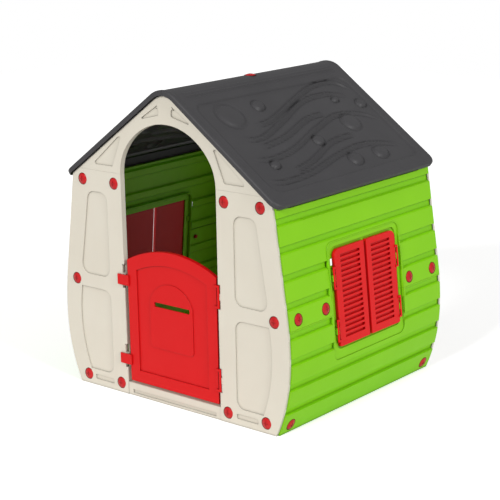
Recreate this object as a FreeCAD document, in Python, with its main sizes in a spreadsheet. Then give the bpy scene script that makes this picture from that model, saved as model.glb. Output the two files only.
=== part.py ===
import FreeCAD, Part
import math
import os
import re
import Sketcher

# Plastic playhouse: cream ends with an open arch each, green plank walls, a half door,
# four louvred shutters and a dark two-panel roof.  X right, Y to the back, Z up, millimetres;
# the origin is on the floor under the middle of the house.

SIZES = {
    # the walls' side profile, seen from the front
    "half_width": 511, "belly_height": 258, "lower_bow": 620, "upper_bow": 1050, "lean": 8.2,
    # the two cream ends
    "half_depth": 438, "skin": 3, "face_inset": 6, "edge_return": 9, "jamb_return": 20,
    "arch_half": 213, "parting_height": 785, "arch_rise": 188, "arch_side_radius": 160,
    "recess_depth": 4,
    "panel_margin": 70, "panel_inner": "=arch_half + panel_margin", "upper_panel_low": 410, "upper_panel_high": 709,
    "upper_panel_wide": 423, "upper_panel_narrow": 374, "panel_round": 32,
    "lower_panel_low": 59, "lower_panel_high": 361, "panel_inset": 77,
    "foot_slot_low": 23, "foot_slot_high": 40.5, "foot_slot_end": 374,
    "gable_panel_edge": 22, "gable_panel_foot": 22, "gable_panel_rise": 128,
    # sill between the columns
    "sill_height": 45.6, "sill_depth": 45, "sill_set_back": 1.5, "sill_gap": 0.5,
    "sill_slot_half": 192, "sill_slot_low": 9, "sill_slot_high": 22,
    "lug_reach": 56, "lug_low": 8, "lug_rise": 54, "lug_gap": 0.5, "gable_lug_drop": 60,
    # big plastic screws
    "screw_head": 38.5, "screw_head_rise": 5, "screw_shaft": 14, "screw_fit": 0.1,
    "screw_tail": 8, "boss_wall": 5,
    "top_screw_inset": 115, "outer_top_screw": "=half_width - top_screw_inset",
    "jamb_screw_inset": 33, "inner_screw": "=arch_half + jamb_screw_inset", "top_screw_height": 748,
    "mid_screw_inset": 64.5, "mid_screw": "=half_width - mid_screw_inset", "mid_screw_height": 384, "foot_screw_inset": 102.5, "foot_screw": "=half_width - foot_screw_inset", "foot_screw_height": 35.4,
    "end_screw_inset": 52, "side_outer_screw": "=half_depth - end_screw_inset",
    "surround_screw_gap": 40, "side_inner_screw": "=surround_half + surround_screw_gap", "side_screw_height": 391,
    "side_foot_screw_height": 30,
    # plank walls
    "wall_half_length": "=half_depth - edge_return", "groove_depth": 11, "groove_height": 27, "groove_draft": 4,
    "lower_first_groove": 86.5, "lower_groove_pitch": 85.6,
    "upper_first_groove": 439, "upper_groove_pitch": 89, "surround_margin": 10,
    "short_groove_end": "=surround_half + surround_margin",
    "lap_rise": 17.7,
    "lap_low": "=lower_first_groove + 3 * lower_groove_pitch + lap_rise", "lap_tongue": 60, "lap_fit": 0.2, "seam_gap": 0.5, "wall_top": 741, "wall_post": 62,
    "flange_width": 80, "foot_flange": 40,
    # the window's flat surround and its opening
    "surround_border": 15, "surround_sill": 31, "surround_half": "=window_half + surround_border",
    "surround_low": "=window_low - surround_sill", "surround_high": "=window_high + surround_border",
    "window_half": 186, "window_low": 236, "window_high": 580, "window_round": 26,
    "lining_depth": 20,
    # shutters
    "shutter_inner": 7, "shutter_side_gap": 14, "shutter_outer": "=window_half - shutter_side_gap", "shutter_thick": 12, "shutter_proud": 8,
    "shutter_clear": 9,
    "shutter_low": "=window_low + shutter_clear", "shutter_high": "=window_high - shutter_clear", "shutter_round": 24,
    "slot_start": 32, "slot_end": 141, "slot_height": 9.5, "slot_pitch": 16.9, "slot_count": 17,
    "slot_first": 30, "slot_depth": 8,
    "shutter_reach": 9, "shutter_pivot": "=shutter_outer + shutter_reach", "rod_diameter": 7, "rod_fit": 0.1, "arm_height": 7,
    "upper_loop_low": 195, "lower_loop_low": 17, "loop_height": 76,
    "cradle_length": 22, "cradle_wall": 3,
    # half door
    "door_free_gap": 16.5, "door_hinge_gap": 7.5, "door_left": "=arch_half - door_free_gap",
    "door_right": "=arch_half - door_hinge_gap", "door_low": 56, "door_side_high": 490,
    "door_crown": 541, "door_thick": 15, "door_border": 42, "door_field": 4, "door_plate": 3,
    "door_panel_half": 97, "door_panel_low": 197, "door_panel_high": 430, "door_panel_rise": 2.5,
    "mail_left": 76, "mail_right": 83, "mail_low": 343, "mail_high": 359,
    "pivot_offset": 1, "door_pivot": "=arch_half + pivot_offset", "door_rod": 9, "door_arm": 8, "door_loop_height": 79,
    "door_upper_loop": 388, "door_lower_loop": 101,
    "tab_lap": 28, "tab_reach": "=arch_half + tab_lap", "tab_height": 36, "tab_thick": 5, "tab_gap": 0.3,
    "upper_tab": 398, "lower_tab": 113, "pocket_reach": 9, "hinge_pocket": "=arch_half + pocket_reach",
    # roof
    "roof_slope": 36, "ridge_radius": 90, "ridge_centre": 995, "roof_thick": 17.6,
    "eave_half": 475, "roof_overhang": 12, "roof_half_depth": "=half_depth + roof_overhang", "rim_wall": 5, "roof_rib": 8,
    "ridge_lap": 42, "lap_root": 14, "lap_short": 70, "hook_pitch": 160,
    "hook_length": 22, "hook_width": 9, "hook_gap": 0.4,
}

doc = FreeCAD.newDocument("playhouse")
sheet = doc.addObject("Spreadsheet::Sheet", "Sizes")
sheet.Label = "driving dimensions"
for row, alias in enumerate(SIZES, start=1):
    sheet.set(f"A{row}", alias)
    sheet.setAlias(f"B{row}", alias)
for row, number in enumerate(SIZES.values(), start=1):
    sheet.set(f"B{row}", str(number))
doc.recompute()


def bound(text):
    """The same formula with every size's name pointing at the sheet."""
    return re.sub(r"[a-z_]+", lambda m: "Sizes." + m.group() if m.group() in SIZES else m.group(), text)


def value(text):
    result = sheet.evalExpression(bound(text))
    return float(getattr(result, "Value", result))


def bind(item, prop, text):
    item.setExpression(prop, bound(text))


# ---- sketches whose corners are formulas of the sheet ------------------------------------------

def arc_between(start, end, radius, way):
    """A circle arc from start to end that turns the given way (1 anticlockwise, -1 clockwise)."""
    mid = (start + end) * 0.5
    chord = end - start
    half = chord.Length / 2
    side = FreeCAD.Vector(-chord.y, chord.x, 0).normalize() * way
    centre = mid + side * math.sqrt(max(radius * radius - half * half, 0))
    first, last = (start, end) if way > 0 else (end, start)
    angles = [math.atan2(p.y - centre.y, p.x - centre.x) for p in (first, last)]
    if angles[1] < angles[0]:
        angles[1] += 2 * math.pi
    circle = Part.Circle(centre, FreeCAD.Vector(0, 0, 1), radius)
    return Part.ArcOfCircle(circle, angles[0], angles[1])


def pin(sketch, geometry, point, corner):
    """Hold one point at a corner's two formulas."""
    for axis, kind, text in ((-2, "DistanceX", corner[0]), (-1, "DistanceY", corner[1])):
        if text == "0":
            sketch.addConstraint(Sketcher.Constraint("PointOnObject", geometry, point, axis))
        else:
            index = sketch.addConstraint(
                Sketcher.Constraint(kind, -1, 1, geometry, point, value(text)))
            sketch.setExpression(f"Constraints[{index}]", bound(text))


def hold_radius(sketch, geometry, text):
    index = sketch.addConstraint(Sketcher.Constraint("Radius", geometry, value(text)))
    sketch.setExpression(f"Constraints[{index}]", bound(text))


def outline(body, name, plane, corners, level="0", arcs=None):
    """A closed sketch.  A corner is (across, up) or (across, up, round); arcs gives the edges
    that leave a corner as an arc: {corner number: (radius, way)}."""
    arcs = arcs or {}
    sketch = body.newObject("Sketcher::SketchObject", name)
    origin = [f for f in body.Origin.OriginFeatures if f.Role == plane][0]
    sketch.AttachmentSupport = [(origin, "")]
    sketch.MapMode = "FlatFace"
    bind(sketch, "AttachmentOffset.Base.z", level)
    count = len(corners)
    places = [FreeCAD.Vector(value(c[0]), value(c[1]), 0) for c in corners]
    starts = list(places)
    ends = list(places)
    for i, corner in enumerate(corners):
        if len(corner) == 3:
            before = (places[i - 1] - places[i]).normalize()
            after = (places[(i + 1) % count] - places[i]).normalize()
            length = value(corner[2]) / math.tan(before.getAngle(after) / 2)
            ends[i] = places[i] + before * length
            starts[i] = places[i] + after * length
    edges = []
    for i in range(count):
        there = ends[(i + 1) % count]
        if i in arcs:
            radius, way = arcs[i]
            edge = sketch.addGeometry(arc_between(starts[i], there, value(radius), way))
            hold_radius(sketch, edge, radius)
            edges.append((edge, 1, 2) if way > 0 else (edge, 2, 1))
        else:
            edges.append((sketch.addGeometry(Part.LineSegment(starts[i], there)), 1, 2))
    for i, corner in enumerate(corners):
        into, _, into_end = edges[i - 1]
        out, out_start, _ = edges[i]
        if len(corner) == 2:
            sketch.addConstraint(Sketcher.Constraint("Coincident", into, into_end, out, out_start))
            pin(sketch, out, out_start, corner)
            continue
        turn = (places[i] - places[i - 1]).cross(places[(i + 1) % count] - places[i]).z
        way = 1 if turn > 0 else -1
        bend = sketch.addGeometry(arc_between(ends[i], starts[i], value(corner[2]), way))
        first, last = (1, 2) if way > 0 else (2, 1)
        sketch.addConstraint(Sketcher.Constraint("Tangent", into, into_end, bend, first))
        sketch.addConstraint(Sketcher.Constraint("Tangent", out, out_start, bend, last))
        hold_radius(sketch, bend, corner[2])
        peak = sketch.addGeometry(Part.Point(places[i]), True)
        pin(sketch, peak, 1, corner)
        sketch.addConstraint(Sketcher.Constraint("PointOnObject", peak, 1, into))
        sketch.addConstraint(Sketcher.Constraint("PointOnObject", peak, 1, out))
    return sketch


def round_outline(body, name, plane, across, up, diameter, level="0"):
    sketch = body.newObject("Sketcher::SketchObject", name)
    origin = [f for f in body.Origin.OriginFeatures if f.Role == plane][0]
    sketch.AttachmentSupport = [(origin, "")]
    sketch.MapMode = "FlatFace"
    bind(sketch, "AttachmentOffset.Base.z", level)
    centre = FreeCAD.Vector(value(across), value(up), 0)
    circle = Part.Circle(centre, FreeCAD.Vector(0, 0, 1), value(diameter) / 2)
    ring = sketch.addGeometry(circle)
    pin(sketch, ring, 3, (across, up))
    hold_radius(sketch, ring, f"({diameter}) / 2")
    return sketch


def volume(body):
    doc.recompute()
    return body.Shape.Volume


def add(body, sketch, depth, reverse=False, both_ways=False):
    """Pad a sketch; the body has to grow by it."""
    before = volume(body) if body.Tip else 0
    pad = body.newObject("PartDesign::Pad", sketch.Name + "_pad")
    pad.Profile = sketch
    bind(pad, "Length", depth)
    pad.Reversed = reverse
    pad.Midplane = both_ways
    if volume(body) <= before:
        raise RuntimeError(f"{pad.Name} added nothing to {body.Label}")
    return pad


def take(body, sketch, depth, reverse=False, both_ways=False):
    """Pocket a sketch; the body has to shrink by it."""
    before = volume(body)
    pocket = body.newObject("PartDesign::Pocket", sketch.Name + "_pocket")
    pocket.Profile = sketch
    bind(pocket, "Length", depth)
    pocket.Reversed = reverse
    pocket.Midplane = both_ways
    if volume(body) >= before:
        raise RuntimeError(f"{pocket.Name} took nothing from {body.Label}")
    return pocket


def new_body(label):
    body = doc.addObject("PartDesign::Body", label)
    body.Label = label
    return body


def box_corners(left, right, low, high, rounding=None):
    corners = [(left, low), (right, low), (right, high), (left, high)]
    return [c + (rounding,) for c in corners] if rounding else corners


def mirrored(corners, arcs=None):
    """The same outline on the other side of x = 0, with its arcs turning the other way."""
    flipped = [(c[0] if c[0] == "0" else f"-({c[0]})",) + c[1:] for c in corners]
    return flipped, {i: (radius, -way) for i, (radius, way) in (arcs or {}).items()}


# ---- formulas shared by several pieces -----------------------------------------------------------

BOW_X = "(half_width - lower_bow)"
UPPER_X = "(half_width - upper_bow)"
UNDER_RADIUS = "(ridge_radius - roof_thick)"


def roof_line(radius, height):
    """Where the sloping roof line that is tangent to this ridge radius reaches a height."""
    return f"((ridge_centre + {radius} / cos(roof_slope * 1 deg) - {height}) / tan(roof_slope * 1 deg))"


def roof_tangent(radius):
    return f"{radius} * sin(roof_slope * 1 deg)", f"ridge_centre + {radius} * cos(roof_slope * 1 deg)"


def side_foot(inset):
    return f"{BOW_X} + sqrt((lower_bow - {inset})^2 - belly_height^2)"


def side_belly(inset):
    return f"half_width - {inset}", "belly_height"


def side_shoulder(inset):
    """The end of the upper bow, where the wall runs on straight."""
    return (f"{UPPER_X} + (upper_bow - {inset}) * cos(lean * 1 deg)",
            f"belly_height + (upper_bow - {inset}) * sin(lean * 1 deg)")


def side_top(inset):
    """Where the straight wall line meets the roof's underside."""
    rise = f"(ridge_centre + {UNDER_RADIUS} / cos(roof_slope * 1 deg))"
    across = (f"(upper_bow - {inset} + {UPPER_X} * cos(lean * 1 deg)"
              f" - ({rise} - belly_height) * sin(lean * 1 deg))"
              f" / (cos(lean * 1 deg) - tan(roof_slope * 1 deg) * sin(lean * 1 deg))")
    return across, f"{rise} - tan(roof_slope * 1 deg) * ({across})"


ARCH_DROP = ("(((arch_half - arch_side_radius)^2 - (arch_rise - arch_side_radius)^2)"
             " / (2 * (arch_rise - arch_side_radius)))")
ARCH_TOP_RADIUS = f"({ARCH_DROP} + arch_rise)"
ARCH_REACH = f"({ARCH_TOP_RADIUS} - arch_side_radius)"


def arch_tangent(grow):
    """Where the arch's side bow runs into its top bow."""
    radius = f"({ARCH_TOP_RADIUS} + {grow})"
    return (f"{radius} * (arch_half - arch_side_radius) / {ARCH_REACH}",
            f"parting_height - {ARCH_DROP} + {radius} * {ARCH_DROP} / {ARCH_REACH}")


# ---- the cream ends ------------------------------------------------------------------------------

def column_face(inset):
    corners = [("arch_half", "0"), (side_foot(inset), "0"), side_belly(inset), side_shoulder(inset),
               side_top(inset), (roof_line(UNDER_RADIUS, "parting_height"), "parting_height"),
               ("arch_half", "parting_height")]
    return corners, {1: (f"lower_bow - {inset}", 1), 2: (f"upper_bow - {inset}", 1)}


def column_edge(inset):
    """The band along the column's curved outer edge, one skin wide."""
    deep = f"({inset} + skin)"
    corners = [(side_foot(inset), "0"), side_belly(inset), side_shoulder(inset), side_top(inset),
               side_top(deep), side_shoulder(deep), side_belly(deep), (side_foot(deep), "0")]
    arcs = {0: (f"lower_bow - {inset}", 1), 1: (f"upper_bow - {inset}", 1),
            5: (f"upper_bow - {deep}", -1), 6: (f"lower_bow - {deep}", -1)}
    return corners, arcs


def upper_panel(grow):
    return [(f"panel_inner - {grow}", f"upper_panel_low - {grow}", "panel_round"),
            (f"upper_panel_wide + {grow}", f"upper_panel_low - {grow}", "panel_round"),
            (f"upper_panel_narrow + {grow}", f"upper_panel_high + {grow}", "panel_round"),
            (f"panel_inner - {grow}", f"upper_panel_high + {grow}", "panel_round")], {}


def lower_panel(grow):
    radius = f"(lower_bow - panel_inset + {grow})"
    edge = [f"{BOW_X} + sqrt({radius}^2 - (belly_height - {height})^2)"
            for height in (f"(lower_panel_low - {grow})", f"(lower_panel_high + {grow})")]
    return [(f"panel_inner - {grow}", f"lower_panel_low - {grow}", "panel_round"),
            (edge[0], f"lower_panel_low - {grow}"),
            (edge[1], f"lower_panel_high + {grow}"),
            (f"panel_inner - {grow}", f"lower_panel_high + {grow}", "panel_round")], {1: (radius, 1)}


def foot_slot(grow):
    return box_corners(f"panel_inner - {grow}", f"foot_slot_end + {grow}", f"foot_slot_low - {grow}",
                       f"foot_slot_high + {grow}", "(foot_slot_high - foot_slot_low) / 4"), {}


def sunk_panel(body, name, shape, flip):
    """A recess in the face with its pan standing out behind."""
    for grow, part in (("skin", "pan"), ("0", "recess")):
        corners, arcs = mirrored(*shape(grow)) if flip else shape(grow)
        sketch = outline(body, f"{name}_{part}", "XZ_Plane", corners, "half_depth", arcs)
        if part == "pan":
            add(body, sketch, "recess_depth + skin", reverse=True)
        else:
            take(body, sketch, "recess_depth")


COLUMN_SCREWS = (("outer_top_screw", "top_screw_height", "lug"), ("inner_screw", "top_screw_height", "lug"),
                 ("mid_screw", "mid_screw_height", "boss"), ("foot_screw", "foot_screw_height", "boss"),
                 ("inner_screw", "foot_screw_height", "lug"))
HOLE = "screw_shaft + 2 * screw_fit"


def make_column(label, flip, turned):
    """A tray with a curved outer edge; flip puts it left of the opening, turned at the back."""
    body = new_body(label)
    sign = "-1 *" if flip else ""

    def place(corners, arcs=None):
        return mirrored(corners, arcs) if flip else (corners, arcs)

    corners, arcs = place(*column_face("face_inset"))
    add(body, outline(body, label + "_face", "XZ_Plane", corners, "half_depth", arcs), "skin", True)
    corners, arcs = place(*column_edge("face_inset"))
    add(body, outline(body, label + "_edge", "XZ_Plane", corners, "half_depth", arcs),
        "edge_return", True)
    corners, arcs = place(box_corners("arch_half", "arch_half + skin", "0", "parting_height"))
    add(body, outline(body, label + "_jamb", "XZ_Plane", corners, "half_depth", arcs),
        "jamb_return", True)
    sunk_panel(body, label + "_upper", upper_panel, flip)
    sunk_panel(body, label + "_lower", lower_panel, flip)
    sunk_panel(body, label + "_slot", foot_slot, flip)
    for number, (across, height, seat) in enumerate(COLUMN_SCREWS):
        across = f"{sign} {across}"
        if seat == "boss":
            ring = round_outline(body, f"{label}_boss{number}", "XZ_Plane", across, height,
                                 f"{HOLE} + 2 * boss_wall", "half_depth")
            add(body, ring, "edge_return", True)
        hole = round_outline(body, f"{label}_hole{number}", "XZ_Plane", across, height, HOLE,
                             "half_depth + 1")
        take(body, hole, "jamb_return")
    for number, low in enumerate(("door_upper_loop", "door_lower_loop")):
        # a pocket for the hinge rod, with a half-round cradle behind the rod's middle
        clear = "2"
        corners, arcs = place(box_corners("arch_half - 1", "hinge_pocket", f"{low} - {clear}",
                                          f"{low} + door_loop_height + {clear}"))
        take(body, outline(body, f"{label}_pocket{number}", "XZ_Plane", corners, "half_depth + 1", arcs),
             "skin + 1 + door_rod / 2 + 3")
        middle = f"({low} + door_loop_height / 2)"
        corners, arcs = place(box_corners("arch_half - 5", "hinge_pocket + skin",
                                          f"{middle} - cradle_length / 2", f"{middle} + cradle_length / 2"))
        add(body, outline(body, f"{label}_cradle{number}", "XZ_Plane", corners, "half_depth", arcs),
            "door_rod / 2 + 8", True)
        corners, arcs = place(box_corners("hinge_pocket", "hinge_pocket + skin", f"{low} - {clear} - skin",
                                          f"{low} + door_loop_height + {clear} + skin"))
        add(body, outline(body, f"{label}_cheek{number}", "XZ_Plane", corners, "half_depth", arcs),
            "door_rod / 2 + 8", True)
        bore = round_outline(body, f"{label}_bore{number}", "XY_Plane", f"{sign} door_pivot", "-half_depth",
                             "door_rod + 2 * rod_fit", f"{middle} - cradle_length")
        take(body, bore, "2 * cradle_length", True)
    turn_about(body, turned)
    return body


def turn_about(body, turned):
    angle = 180 if turned else 0
    body.Placement = FreeCAD.Placement(FreeCAD.Vector(), FreeCAD.Rotation(FreeCAD.Vector(0, 0, 1), angle))


def gable_face():
    right = roof_line(UNDER_RADIUS, "parting_height")
    crest = roof_tangent(UNDER_RADIUS)
    spring = arch_tangent("0")
    corners = [("arch_half", "parting_height"), (right, "parting_height"), crest,
               (f"-({crest[0]})", crest[1]), (f"-({right})", "parting_height"),
               ("-arch_half", "parting_height"), (f"-({spring[0]})", spring[1]), spring]
    arcs = {2: (UNDER_RADIUS, 1), 5: ("arch_side_radius", -1), 6: (ARCH_TOP_RADIUS, -1),
            7: ("arch_side_radius", -1)}
    return corners, arcs


def gable_roof_band():
    """The strip under the roof, one skin thick, that carries the roof panels."""
    corners = []
    for radius in (UNDER_RADIUS, f"({UNDER_RADIUS} - skin)"):
        across = roof_line(radius, "parting_height")
        crest = roof_tangent(radius)
        side = [(across, "parting_height"), crest]
        over = [(f"-({crest[0]})", crest[1]), (f"-({across})", "parting_height")]
        corners += side + over if not corners else [over[1], over[0], side[1], side[0]]
    return corners, {1: (UNDER_RADIUS, 1), 5: (f"({UNDER_RADIUS} - skin)", -1)}


def gable_arch_band():
    inner = arch_tangent("0")
    outer = arch_tangent("skin")
    corners = [("arch_half", "parting_height"), ("arch_half + skin", "parting_height"), outer,
               (f"-({outer[0]})", outer[1]), ("-(arch_half + skin)", "parting_height"),
               ("-arch_half", "parting_height"), (f"-({inner[0]})", inner[1]), inner]
    arcs = {1: ("arch_side_radius + skin", 1), 2: (f"{ARCH_TOP_RADIUS} + skin", 1),
            3: ("arch_side_radius + skin", 1), 5: ("arch_side_radius", -1), 6: (ARCH_TOP_RADIUS, -1),
            7: ("arch_side_radius", -1)}
    return corners, arcs


def gable_panel(which):
    """The three-cornered recesses beside and above the arch."""
    slope_radius = f"({UNDER_RADIUS} - gable_panel_edge)"

    def shape(grow):
        radius = f"({slope_radius} + {grow})"
        if which == "low":
            low = f"(parting_height + gable_panel_foot - {grow})"
            high = f"(parting_height + gable_panel_rise + {grow})"
            return [(f"(arch_half + 36 - {grow})", low, "6"),
                    (f"(arch_half + 130 + 2.7 * {grow})", low, "6"),
                    (f"(arch_half + 4 + {grow})", high, "4"),
                    (f"(arch_half - 8 - {grow})", high, "4")], {}
        low = f"(parting_height + arch_rise + 28 - {grow})"
        return [(f"(28 - {grow})", low, "6"), (f"(118 + {grow})", f"({low} - 22)", "3"),
                (f"{roof_line(radius, f'({low} + 34)')}", f"({low} + 34)", "4"),
                (f"(28 - {grow})", f"({low} + 38)", "6")], {}
    return shape


def make_gable(label, turned):
    body = new_body(label)
    corners, arcs = gable_face()
    add(body, outline(body, label + "_face", "XZ_Plane", corners, "half_depth", arcs), "skin", True)
    corners, arcs = gable_roof_band()
    add(body, outline(body, label + "_roof_band", "XZ_Plane", corners, "half_depth", arcs),
        "edge_return", True)
    corners, arcs = gable_arch_band()
    add(body, outline(body, label + "_arch_band", "XZ_Plane", corners, "half_depth", arcs),
        "jamb_return", True)
    for side, flip in (("right", False), ("left", True)):
        sunk_panel(body, f"{label}_{side}_low", gable_panel("low"), flip)
        sunk_panel(body, f"{label}_{side}_high", gable_panel("high"), flip)
        # the lug behind the column, joined to the face by a short web above the parting line
        reach = roof_line(UNDER_RADIUS, "(parting_height + skin)")
        lug = [("arch_half + skin + lug_gap", "parting_height - gable_lug_drop"),
               (f"{reach} + 12", "parting_height - gable_lug_drop"),
               (f"{reach} - 3", "parting_height + skin"),
               ("arch_half + skin + lug_gap", "parting_height + skin")]
        corners, arcs = mirrored(lug) if flip else (lug, {})
        add(body, outline(body, f"{label}_{side}_lug", "XZ_Plane", corners, "half_depth - skin", arcs),
            "edge_return - skin", True)
        for across in ("outer_top_screw", "inner_screw"):
            sign = "-1 *" if flip else ""
            hole = round_outline(body, f"{label}_{side}_{across}", "XZ_Plane", f"{sign} {across}",
                                 "top_screw_height", HOLE, "half_depth + 1")
            take(body, hole, "jamb_return")
    turn_about(body, turned)
    return body


def make_sill(label, turned):
    body = new_body(label)
    half = "(arch_half - sill_gap)"
    block = outline(body, label + "_block", "XZ_Plane",
                    box_corners(f"-{half}", half, "0", "sill_height"), "half_depth - sill_set_back")
    add(body, block, "sill_depth", True)
    hollow = outline(body, label + "_hollow", "XZ_Plane",
                     box_corners(f"-({half} - skin)", f"{half} - skin", "-1", "sill_height - skin"),
                     "half_depth - sill_set_back - recess_depth - skin")
    take(body, hollow, "sill_depth - recess_depth - 2 * skin")
    slot = outline(body, label + "_slot", "XZ_Plane",
                   box_corners("-sill_slot_half", "sill_slot_half", "sill_slot_low", "sill_slot_high",
                               "(sill_slot_high - sill_slot_low) / 4"), "half_depth - sill_set_back")
    take(body, slot, "recess_depth")
    for side, sign in (("right", ""), ("left", "-1 *")):
        reach = box_corners("arch_half - sill_gap - 1", "arch_half + lug_reach", "lug_low",
                            "lug_low + lug_rise")
        corners, _ = mirrored(reach) if sign else (reach, None)
        lug = outline(body, f"{label}_{side}_lug", "XZ_Plane", corners, "half_depth - jamb_return")
        add(body, lug, "skin", True)
        post = round_outline(body, f"{label}_{side}_post", "XZ_Plane", f"{sign} inner_screw",
                             "foot_screw_height", f"{HOLE} + 2 * boss_wall", "half_depth - skin")
        add(body, post, "jamb_return - skin", True)
        hole = round_outline(body, f"{label}_{side}_hole", "XZ_Plane", f"{sign} inner_screw",
                             "foot_screw_height", HOLE, "half_depth + 1")
        take(body, hole, "jamb_return + skin + 2")
    turn_about(body, turned)
    return body


# ---- the half door -------------------------------------------------------------------------------

DOOR_CROWN_RADIUS = ("(((door_left + door_right)^2 / 4 + (door_crown - door_side_high)^2)"
                     " / (2 * (door_crown - door_side_high)))")


def door_leaf(inset):
    radius = f"({DOOR_CROWN_RADIUS} - {inset})"
    return [(f"-(door_left - {inset})", f"door_low + {inset}"),
            (f"door_right - {inset}", f"door_low + {inset}"),
            (f"door_right - {inset}", f"door_side_high - 0.75 * {inset}"),
            (f"-(door_left - {inset})", f"door_side_high - 0.75 * {inset}")], {2: (radius, 1)}


def make_door():
    body = new_body("door")
    corners, arcs = door_leaf("0")
    add(body, outline(body, "door_leaf", "XZ_Plane", corners, "half_depth", arcs), "door_thick", True)
    corners, arcs = door_leaf("skin")
    behind = outline(body, "door_behind", "XZ_Plane", corners, "half_depth - door_thick", arcs)
    take(body, behind, "door_thick - door_field - door_plate", True)
    corners, arcs = door_leaf("door_border")
    take(body, outline(body, "door_field", "XZ_Plane", corners, "half_depth", arcs), "door_field")
    panel = [("-door_panel_half", "door_panel_low", "14"), ("door_panel_half", "door_panel_low", "14"),
             ("door_panel_half", "door_panel_high - 70"), ("-door_panel_half", "door_panel_high - 70")]
    arch = {2: ("(door_panel_half^2 + 70^2) / 140", 1)}
    raised = outline(body, "door_panel", "XZ_Plane", panel, "half_depth - door_field", arch)
    add(body, raised, "door_panel_rise")
    for number, low in enumerate(("upper_tab", "lower_tab")):
        tab = outline(body, f"door_tab{number}", "XZ_Plane",
                      box_corners("-tab_reach", "-(door_left - 8)", low, f"{low} + tab_height"),
                      "half_depth + tab_gap + tab_thick")
        add(body, tab, "tab_thick", True)
        root = outline(body, f"door_tab_root{number}", "XZ_Plane",
                       box_corners("-(arch_half - 6)", "-(door_left - 8)", low, f"{low} + tab_height"),
                       "half_depth + tab_gap + 1")
        add(body, root, "door_field + door_plate", True)
    for number, low in enumerate(("door_upper_loop", "door_lower_loop")):
        high = f"({low} + door_loop_height)"
        for end, bottom in (("low", low), ("high", f"({high} - door_arm)")):
            arm = outline(body, f"door_arm_{end}{number}", "XY_Plane",
                          box_corners("door_right - 8", "door_pivot", "-half_depth - door_rod / 2",
                                      "-half_depth + door_rod / 2"), bottom)
            add(body, arm, "door_arm")
        rod = round_outline(body, f"door_rod{number}", "XY_Plane", "door_pivot", "-half_depth",
                            "door_rod", low)
        add(body, rod, "door_loop_height")
    slot = outline(body, "mail_slot", "XZ_Plane",
                   box_corners("-mail_left", "mail_right", "mail_low", "mail_high", "3"),
                   "half_depth + 5")
    take(body, slot, "door_thick + 10")
    return body


# ---- shutters, made flat and then leant with the wall --------------------------------------------

def window_tilt():
    """The lean of the window's flat surround, and the middle of its face."""
    low, high = value("surround_low"), value("surround_high")
    bottom, top = wall_x(low), wall_x(high)
    angle = -math.degrees(math.atan2(bottom - top, high - low))
    return angle, FreeCAD.Vector((bottom + top) / 2, 0, (low + high) / 2)


def wall_x(height, inset=0.0):
    """Half width of the wall's outer face at a height."""
    belly, lean = value("belly_height"), math.radians(value("lean"))
    lower, upper = value("lower_bow"), value("upper_bow")
    shoulder = belly + upper * math.sin(lean)
    if height <= belly:
        return value(BOW_X) + math.sqrt((lower - inset) ** 2 - (belly - height) ** 2)
    if height <= shoulder:
        return value(UPPER_X) + math.sqrt((upper - inset) ** 2 - (height - belly) ** 2)
    return value(UPPER_X) + ((upper - inset) - (height - belly) * math.sin(lean)) / math.cos(lean)


MIDDLE = "((surround_low + surround_high) / 2)"


def make_shutter(label, left_wall, far):
    """A leaf with blind louvre slots and two looped rods; far is the one further back on its wall."""
    body = new_body(label)
    low, high = f"shutter_low - {MIDDLE}", f"shutter_high - {MIDDLE}"
    leaf = [("shutter_inner", low), ("shutter_outer", low, "5"),
            ("shutter_outer", high, "shutter_round"), ("shutter_inner", high)]
    flip = far == left_wall

    def place(corners, arcs=None):
        return mirrored(corners, arcs) if flip else (corners, arcs)

    corners, arcs = place(leaf)
    add(body, outline(body, label + "_leaf", "YZ_Plane", corners, "shutter_proud", arcs),
        "shutter_thick", True)
    first = f"{low} + slot_first - slot_height / 2"
    corners, arcs = place(box_corners("slot_start", "slot_end", first, f"{first} + slot_height"))
    slot = take(body, outline(body, label + "_slot", "YZ_Plane", corners, "shutter_proud", arcs),
                "slot_depth")
    rows = body.newObject("PartDesign::LinearPattern", label + "_slots")
    rows.Originals = [slot]
    rows.Direction = ([f for f in body.Origin.OriginFeatures if f.Role == "Z_Axis"][0], [""])
    bind(rows, "Length", "slot_pitch * (slot_count - 1)")
    bind(rows, "Occurrences", "slot_count")
    body.Tip = rows
    for number, start in enumerate(("upper_loop_low", "lower_loop_low")):
        base = f"({low} + {start})"
        for end, bottom in (("low", base), ("high", f"({base} + loop_height - arm_height)")):
            corners, arcs = place([("shutter_outer - 4", bottom),
                                   ("shutter_pivot", bottom),
                                   ("shutter_pivot", f"{bottom} + arm_height"),
                                   ("shutter_outer - 4", f"{bottom} + arm_height")])
            arm = outline(body, f"{label}_arm_{end}{number}", "YZ_Plane", corners,
                          "shutter_proud - rod_diameter / 2", arcs)
            add(body, arm, "rod_diameter")
        sign = "-1 *" if flip else ""
        rod = round_outline(body, f"{label}_rod{number}", "XY_Plane", "shutter_proud",
                            f"{sign} shutter_pivot", "rod_diameter", base)
        add(body, rod, "loop_height")
    angle, middle = window_tilt()
    body.Placement = on_wall(left_wall, angle, middle)
    return body


def on_wall(left_wall, angle, middle):
    """From the window's own frame to the right or the left wall."""
    lean = FreeCAD.Placement(middle, FreeCAD.Rotation(FreeCAD.Vector(0, 1, 0), angle))
    turn = FreeCAD.Rotation(FreeCAD.Vector(0, 0, 1), 180 if left_wall else 0)
    return FreeCAD.Placement(FreeCAD.Vector(), turn).multiply(lean)


# ---- the plank walls -----------------------------------------------------------------------------
# A wall half is one corrugated skin.  No sketch pad holds its bowed, grooved section, so these
# shapes are made with Part's own functions from the same sheet.

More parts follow.
